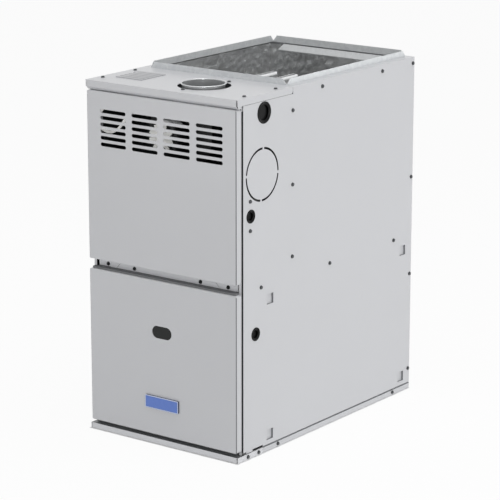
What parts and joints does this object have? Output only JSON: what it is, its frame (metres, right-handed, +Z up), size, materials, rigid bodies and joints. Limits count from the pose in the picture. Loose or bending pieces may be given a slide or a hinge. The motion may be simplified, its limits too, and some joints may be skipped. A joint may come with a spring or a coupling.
{
  "type": "forced air gas furnace",
  "caption": "Upflow sheet metal cabinet with louvred burner door, blower door, flue collar and flanged supply opening over tubular heat exchangers.",
  "frame": {"origin": "on the floor, in the middle of the bounding box in X and Y", "axes": "+X to the right seen from the front, -Y out of the doors, +Z up"},
  "size_m": [0.4506, 0.73, 0.8695],
  "materials": {
    "paint_grey": "satin light grey enamel",
    "paint_light": "satin light grey enamel, seen from above",
    "galvanised": "galvanised sheet",
    "aluminised": "aluminised steel",
    "bright_steel": "ground steel",
    "foil": "foil faced glass fibre",
    "black_motor": "black enamel",
    "grey_motor": "grey enamel",
    "pipe_black": "black pipe",
    "cast_alloy": "die cast",
    "brass": "turned brass",
    "dark_plastic": "moulded",
    "white_plastic": "moulded",
    "red_plastic": "moulded",
    "green_board": "circuit board",
    "black_plug": "moulded",
    "blue_plate": "blue plate with a light rim",
    "dark_glass": "smoked window",
    "foam": "foam strip",
    "hose": "silicone hose",
    "screw_zinc": "zinc plated"
  },
  "bodies": {
    "cabinet": {"side_panel_left": "paint_grey", "side_panel_right": "paint_grey", "back_panel": "paint_grey", "top_plate": "paint_light", "duct_flange_front": "galvanised", "duct_flange_back": "galvanised", "duct_flange_left": "galvanised", "duct_flange_right": "galvanised", "door_channel_left": "paint_grey", "door_channel_right": "paint_grey", "mid_rail": "paint_grey", "base_rail": "paint_grey", "base_pan": "paint_grey", "blower_deck": "galvanised", "vestibule_panel": "galvanised", "foil_liner": "foil", "rear_baffle": "aluminised", "heat_cells": "aluminised", "collector_box": "galvanised", "inducer_housing": "galvanised", "inducer_motor": "black_motor", "flue_collar": "aluminised", "burner_box": "galvanised", "burners": "aluminised", "gas_manifold": "pipe_black", "gas_orifices": "brass", "gas_valve": "cast_alloy", "igniter": "white_plastic", "flame_sensor": "white_plastic", "rollout_switches": "dark_plastic", "limit_switch": "dark_plastic", "pressure_switch": "white_plastic", "pressure_hose": "hose", "blower_scroll": "galvanised", "blower_sides": "galvanised", "blower_rails": "galvanised", "blower_motor": "grey_motor", "motor_mount": "black_motor", "control_board": "green_board", "transformer": "black_motor", "junction_box": "galvanised", "door_switch": "dark_plastic", "capacitor": "cast_alloy", "side_plugs": "black_plug", "screws": "screw_zinc"},
    "blower_rotor": {"blower_wheel": "galvanised", "blower_blades": "galvanised", "blower_shaft": "bright_steel"},
    "inducer_rotor": {"inducer_wheel": "galvanised", "inducer_shaft": "bright_steel", "inducer_fan": "white_plastic"},
    "gas_knob": {"gas_valve_knob": "red_plastic"},
    "reset_left": {"reset_button_left": "red_plastic"},
    "reset_right": {"reset_button_right": "red_plastic"},
    "door_plunger": {"door_switch_plunger": "white_plastic"},
    "upper_door": {"upper_door": "paint_grey"},
    "lower_door": {"lower_door": "paint_grey", "door_seal": "foam", "sight_glass": "dark_glass", "badge": "blue_plate"}
  },
  "joints": [
    {"name": "upper_door_off", "type": "slide", "parent": "cabinet", "child": "upper_door", "axis": [0, -1, 0], "range_m": [0, 0.1]},
    {"name": "lower_door_off", "type": "slide", "parent": "cabinet", "child": "lower_door", "axis": [0, -1, 0], "range_m": [0, 0.1]},
    {"name": "blower_spin", "type": "hinge", "parent": "cabinet", "child": "blower_rotor", "pos_m": [0, -0.001, 0.21], "axis": [1, 0, 0], "continuous": true},
    {"name": "inducer_spin", "type": "hinge", "parent": "cabinet", "child": "inducer_rotor", "pos_m": [-0.024, -0.261, 0.733], "axis": [0, 1, 0], "continuous": true},
    {"name": "gas_knob_turn", "type": "hinge", "parent": "cabinet", "child": "gas_knob", "pos_m": [-0.1755, -0.3, 0.47937], "axis": [0, -1, 0], "range_deg": [0, 90]},
    {"name": "reset_left_press", "type": "slide", "parent": "cabinet", "child": "reset_left", "axis": [0, 0, -1], "range_m": [0, 0.0015], "stiffness_N_per_m": 500},
    {"name": "reset_right_press", "type": "slide", "parent": "cabinet", "child": "reset_right", "axis": [0, 0, -1], "range_m": [0, 0.0015], "stiffness_N_per_m": 500},
    {"name": "door_plunger_press", "type": "slide", "parent": "cabinet", "child": "door_plunger", "axis": [0, 1, 0], "range_m": [0, 0.0025], "stiffness_N_per_m": 300}
  ]
}
